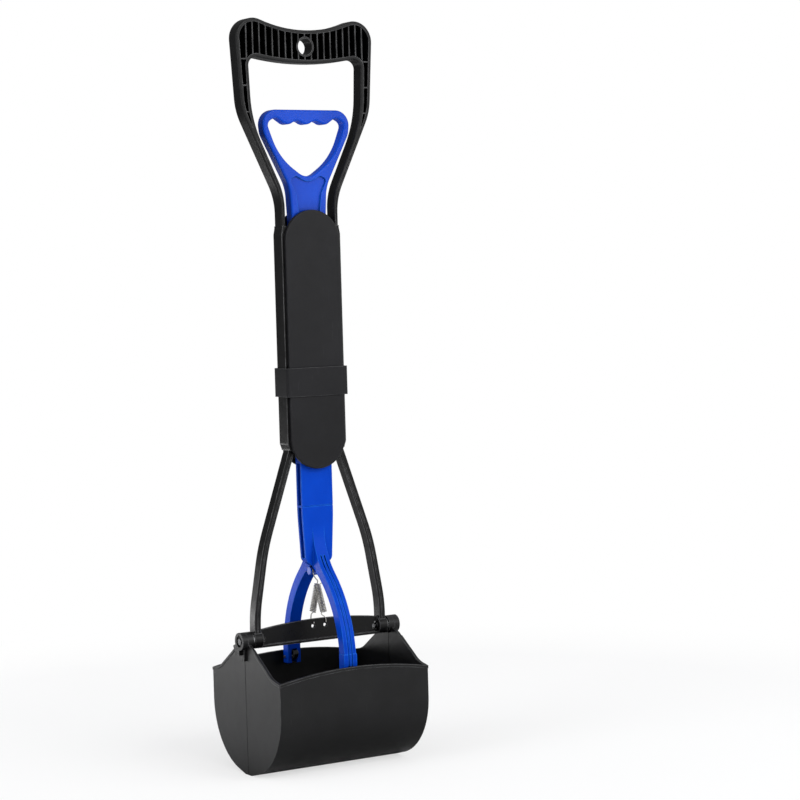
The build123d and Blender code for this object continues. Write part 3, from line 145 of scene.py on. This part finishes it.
def plastic(name, body, light, scuff_and_edge_highlight, roughness, specular, grain_scale, grain_height, edge_radius,
            edge_highlight_strength, scuff_strength, shade_reach, shade_tone=0.35, seam_half_width=0.0):
    material, tree = new_material(name)
    place = node(tree, "ShaderNodeTexCoord").outputs["Object"]
    slow = noise(tree, place, scale=22.0, detail=4.0)
    cloudy = noise(tree, place, scale=90.0, detail=5.0, roughness=0.6)
    grain = noise(tree, place, grain_scale, detail=2.0, roughness=0.5)
    scratch = stretched_noise(tree, place, (900.0, 900.0, 60.0), detail=2.0, roughness=0.4)
    scuff = spread(tree, scratch, low=0.0, high=scuff_strength, start=0.66, end=0.74)
    patch = spread(tree, slow, low=0.0, high=1.0, start=0.48, end=0.62)
    scuff = maths(tree, "MULTIPLY", scuff, patch)
    rounded = rounded_normal(tree, edge_radius)
    # Painted highlight: edges are lightened towards a lighter colour, broken up by noise, to stand for light
    # catching the rims
    edge = edge_share(tree, rounded)
    highlight_breakup = spread(tree, cloudy, low=0.35, high=1.0, start=0.40, end=0.62)
    edge = maths(tree, "MULTIPLY", maths(tree, "MULTIPLY", edge, highlight_breakup), edge_highlight_strength)
    variation = spread(tree, slow, low=0.0, high=1.0, start=0.32, end=0.68)
    tone = mix_colour(tree, variation, body, light)
    # Painted edge highlights and real handling scuffs share one lighter colour
    tone = mix_colour(tree, maths(tree, "MAXIMUM", edge, scuff), tone, scuff_and_edge_highlight)
    # Painted shade: hollows darken towards the body colour times the shade tone
    unshaded = unshaded_share(tree, shade_reach)
    dark = [share * shade_tone for share in body[:3]] + [1.0]
    # Painted shade on the lips of the seam between the jaws, in the shaded hollow colour, which also keeps
    # the painted edge highlight off them
    if seam_half_width:
        tone = mix_colour(tree, seam_share(tree, place, seam_half_width), tone, dark)
    tone = mix_colour(tree, unshaded, dark, tone)
    polish = spread(tree, cloudy, low=roughness - 0.04, high=roughness + 0.05, start=0.30, end=0.70)
    polish = maths(tree, "ADD", polish, spread(tree, grain, low=-0.03, high=0.04, start=0.30, end=0.70))
    # Painted shade on the reflection too: the specular level dims in hollows
    sheen = spread(tree, unshaded, low=specular * 0.25, high=specular, start=0.0, end=1.0)
    height = maths(tree, "ADD", grain, maths(tree, "MULTIPLY", cloudy, 0.6))
    finish_material(tree, height, grain_height, rounded,
                    Metallic=0.0, IOR=1.49, Specular_IOR_Level=sheen, Base_Color=tone, Roughness=polish)
    return material


# Plated metal: fine brushing, a mottled plating and softly rounded edges

def metal(name, bright, dull, roughness, brush_scale, edge_radius):
    material, tree = new_material(name)
    place = node(tree, "ShaderNodeTexCoord").outputs["Object"]
    mottle = noise(tree, place, scale=350.0, detail=4.0)
    brushed = stretched_noise(tree, place, brush_scale, detail=3.0)
    tone = mix_colour(tree, spread(tree, mottle, low=0.0, high=1.0, start=0.35, end=0.68), bright, dull)
    polish = spread(tree, brushed, low=roughness - 0.08, high=roughness + 0.10, start=0.30, end=0.70)
    height = maths(tree, "ADD", brushed, mottle)
    finish_material(tree, height, METAL_RELIEF, rounded_normal(tree, edge_radius),
                    Metallic=1.0, Base_Color=tone, Roughness=polish)
    return material


black_moulding = plastic(
    "black_moulding",
    body=colour(0.0040, 0.0040, 0.0042),
    light=colour(0.0066, 0.0066, 0.0070),
    scuff_and_edge_highlight=colour(0.200, 0.200, 0.204),
    roughness=0.30, specular=0.17,
    grain_scale=1500.0, grain_height=0.00006,
    edge_radius=0.0009, edge_highlight_strength=0.90,
    scuff_strength=0.08, shade_reach=0.012)
black_cover = plastic(
    "black_cover",
    body=colour(0.0070, 0.0070, 0.0081),
    light=colour(0.0104, 0.0104, 0.0122),
    scuff_and_edge_highlight=colour(0.130, 0.130, 0.135),
    roughness=0.42, specular=0.17,
    grain_scale=1700.0, grain_height=0.00008,
    edge_radius=0.0009, edge_highlight_strength=0.80,
    scuff_strength=0.08, shade_reach=0.012)
# The bucket's long shade reach paints shade deep inside the jaws
black_bucket = plastic(
    "black_bucket",
    body=colour(0.0066, 0.0066, 0.0070),
    light=colour(0.0102, 0.0102, 0.0108),
    scuff_and_edge_highlight=colour(0.150, 0.150, 0.154),
    roughness=0.36, specular=0.23,
    grain_scale=1300.0, grain_height=0.00007,
    edge_radius=0.0009, edge_highlight_strength=0.85,
    scuff_strength=0.05, shade_reach=0.09,
    seam_half_width=0.0012)
blue_moulding = plastic(
    "blue_moulding",
    body=colour(0.0010, 0.052, 0.50),
    light=colour(0.0020, 0.068, 0.60),
    scuff_and_edge_highlight=colour(0.020, 0.230, 0.95),
    roughness=0.24, specular=0.17,
    grain_scale=1500.0, grain_height=0.00004,
    edge_radius=0.0010, edge_highlight_strength=0.85,
    scuff_strength=0.05, shade_reach=0.012)
# The yoke's long shade reach paints shade between the arch's legs and in its flutes
blue_yoke = plastic(
    "blue_yoke",
    body=colour(0.0010, 0.050, 0.50),
    light=colour(0.0020, 0.066, 0.60),
    scuff_and_edge_highlight=colour(0.020, 0.230, 0.95),
    roughness=0.30, specular=0.05,
    grain_scale=1500.0, grain_height=0.00004,
    edge_radius=0.0010, edge_highlight_strength=0.85,
    scuff_strength=0.05, shade_reach=0.14,
    shade_tone=0.66)
rod_moulding = plastic(
    "rod_moulding",
    body=colour(0.0060, 0.0060, 0.0064),
    light=colour(0.0095, 0.0095, 0.0100),
    scuff_and_edge_highlight=colour(0.050, 0.050, 0.052),
    roughness=0.48, specular=0.20,
    grain_scale=1100.0, grain_height=0.00010,
    edge_radius=0.0006, edge_highlight_strength=0.40,
    scuff_strength=0.40, shade_reach=0.012)
zinc_plate = metal(
    "zinc_plate",
    bright=colour(0.50, 0.51, 0.53),
    dull=colour(0.30, 0.305, 0.31),
    roughness=0.30, brush_scale=(400.0, 2500.0, 2500.0), edge_radius=0.0003)
dark_steel = metal(
    "dark_steel",
    bright=colour(0.085, 0.086, 0.090),
    dull=colour(0.045, 0.046, 0.048),
    roughness=0.32, brush_scale=(400.0, 2500.0, 2500.0), edge_radius=0.0003)
spring_wire = metal(
    "spring_wire",
    bright=colour(0.62, 0.61, 0.58),
    dull=colour(0.36, 0.35, 0.33),
    roughness=0.24, brush_scale=(2500.0, 2500.0, 300.0), edge_radius=0.0002)

# The small pins, washers and screws that aren't named here are zinc plated
FINISHES = {
    "front_jaw": black_bucket,
    "back_jaw": black_bucket,
    "upper_front_cover": black_cover,
    "lower_front_cover": black_cover,
    "upper_back_cover": black_cover,
    "lower_back_cover": black_cover,
    "lock_band": black_cover,
    "upper_frame": black_moulding,
    "lower_frame": black_moulding,
    "pull_rod": rod_moulding,
    "trigger_handle": blue_moulding,
    "yoke": blue_yoke,
    "spring_anchor_pin": blue_moulding,
    "left_pivot_pin": dark_steel,
    "right_pivot_pin": dark_steel,
    "pivot_clips": dark_steel,
    "left_spring": spring_wire,
    "right_spring": spring_wire,
}

for name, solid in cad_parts.items():
    finish = FINISHES.get(name, zinc_plate)
    if not solid.data.materials:
        solid.data.materials.append(finish)
    for index in range(len(solid.data.materials)):
        solid.data.materials[index] = finish


# Studio: a pale floor that fades into a white backdrop, with soft light from the left and the front

# Towards the back left, where mirrored rays meet a darker studio, and how dark it gets
DARK_SIDE = (-0.62, 0.78, 0.0)
DARK_SHARE = 0.84
# Strength of the light that the backdrop gives off
BACKDROP_LIGHT = 0.62
# The least share of plain white that the camera sees on the floor, and the radii where it grows to all
NEAR_WHITE = 0.62
FADE_START = 0.25
FADE_END = 0.90


def studio_white(tree, direction, path):
    """White for the camera. Mirrored rays see it darken towards the dark side."""
    towards = vector_maths(tree, "DOT_PRODUCT", direction, DARK_SIDE)
    card = spread(tree, towards.outputs["Value"], low=0.0, high=DARK_SHARE, start=-0.35, end=0.50)
    card = maths(tree, "MULTIPLY", card, path.outputs["Is Glossy Ray"])
    return mix_colour(tree, card, colour(1.0, 1.0, 1.0), colour(0.0, 0.0, 0.0))


def backdrop_world():
    world = bpy.data.worlds.new("studio_world")
    world.use_nodes = True
    tree = world.node_tree
    tree.nodes.clear()
    path = node(tree, "ShaderNodeLightPath")
    seen = maths(tree, "MAXIMUM", path.outputs["Is Camera Ray"], path.outputs["Is Glossy Ray"])
    seen = maths(tree, "MAXIMUM", seen, path.outputs["Is Transmission Ray"])
    lit = studio_white(tree, node(tree, "ShaderNodeTexCoord").outputs["Generated"], path)
    white = node(tree, "ShaderNodeBackground", Color=lit, Strength=1.0)
    soft = node(tree, "ShaderNodeBackground", Color=colour(0.97, 0.98, 1.0), Strength=BACKDROP_LIGHT)
    node(tree, "ShaderNodeOutputWorld", Surface=mix_shader(tree, seen, soft, white))
    bpy.context.scene.world = world


def floor_material():
    """Matt close to the object, and the backdrop's own white further out, so that no horizon shows."""
    material, tree = new_material("studio_floor")
    place = node(tree, "ShaderNodeTexCoord").outputs["Object"]
    path = node(tree, "ShaderNodeLightPath")
    mirrored = maths(tree, "MAXIMUM", path.outputs["Is Glossy Ray"], path.outputs["Is Transmission Ray"])
    length = vector_maths(tree, "LENGTH", place)
    far = node(tree, "ShaderNodeMapRange", {"interpolation_type": "SMOOTHSTEP"},
               Value=length.outputs["Value"], From_Min=FADE_START, From_Max=FADE_END).outputs["Result"]
    near = maths(tree, "MAXIMUM", far, NEAR_WHITE)
    share = maths(tree, "MULTIPLY", path.outputs["Is Camera Ray"], near)
    share = maths(tree, "MAXIMUM", share, maths(tree, "MULTIPLY", mirrored, far))
    matt = node(tree, "ShaderNodeBsdfDiffuse", Color=colour(0.90, 0.90, 0.90), Roughness=1.0)
    outward = vector_maths(tree, "NORMALIZE", place)
    lit = studio_white(tree, outward.outputs["Vector"], path)
    white = node(tree, "ShaderNodeEmission", Color=lit, Strength=1.0)
    node(tree, "ShaderNodeOutputMaterial", Surface=mix_shader(tree, share, matt, white))
    return material


def studio_floor(half_width):
    mesh = bpy.data.meshes.new("studio_floor")
    corners = [(-half_width, -half_width, 0.0), (half_width, -half_width, 0.0),
               (half_width, half_width, 0.0), (-half_width, half_width, 0.0)]
    mesh.from_pydata(corners, [], [(0, 1, 2, 3)])
    mesh.materials.append(floor_material())
    floor = bpy.data.objects.new("studio_floor", mesh)
    bpy.context.scene.collection.objects.link(floor)


def soft_box(name, place, target, width, height, power):
    """A rectangular lamp at a place, turned towards a target. The camera doesn't see it."""
    lamp = bpy.data.lights.new(name, "AREA")
    lamp.shape = "RECTANGLE"
    lamp.size = width
    lamp.size_y = height
    lamp.energy = power
    holder = bpy.data.objects.new(name, lamp)
    holder.visible_camera = False
    bpy.context.scene.collection.objects.link(holder)
    holder.location = Vector(place)
    holder.rotation_euler = (Vector(target) - Vector(place)).to_track_quat("-Z", "Y").to_euler()


backdrop_world()
studio_floor(half_width=6.0)
soft_box("left_soft_box", place=(-2.2, -0.3, 1.0), target=(0.0, 0.0, 0.33),
         width=1.2, height=1.6, power=15.0)
soft_box("low_left_soft_box", place=(-0.55, 0.75, 0.08), target=(-0.08, 0.0, 0.06),
         width=0.5, height=0.16, power=1.5)
soft_box("front_soft_box", place=(0.4, -2.4, 1.7), target=(0.0, 0.0, 0.35),
         width=1.4, height=1.0, power=20.0)
soft_box("sheen_soft_box", place=(0.72, -1.05, 0.78), target=(0.0, 0.0, 0.56),
         width=0.8, height=0.8, power=3.2)


# Camera: where the photograph was taken from, fitted to the object's own landmarks

PHOTO_PIXELS = 800.0
SENSOR_WIDTH = 36.0


def photo_camera(azimuth, elevation, roll, distance, aim_x, aim_z, focal_pixels):
    """Angles are in degrees, and the distance and the aim in millimetres."""
    swing, rise, tilt = radians(azimuth), radians(elevation), radians(roll)
    look = Vector((sin(swing) * cos(rise), cos(swing) * cos(rise), -sin(rise)))
    side = Vector((cos(swing), -sin(swing), 0.0))
    upward = side.cross(look)
    right = cos(tilt) * side + sin(tilt) * upward
    top = cos(tilt) * upward - sin(tilt) * side
    place = (Vector((aim_x, 0.0, aim_z)) - distance * look) * MM
    turn = Matrix((right, top, -look)).transposed().to_4x4()
    lens = bpy.data.cameras.new("photo_camera")
    lens.sensor_fit = "HORIZONTAL"
    lens.sensor_width = SENSOR_WIDTH
    lens.lens = focal_pixels / PHOTO_PIXELS * SENSOR_WIDTH
    camera = bpy.data.objects.new("photo_camera", lens)
    camera.matrix_world = Matrix.Translation(place) @ turn
    bpy.context.scene.collection.objects.link(camera)
    bpy.context.scene.camera = camera


photo_camera(azimuth=31.959, elevation=3.216, roll=-1.5977, distance=2255.0,
             aim_x=98.10, aim_z=341.61, focal_pixels=2333.0)

bpy.context.scene.view_settings.view_transform = "Standard"
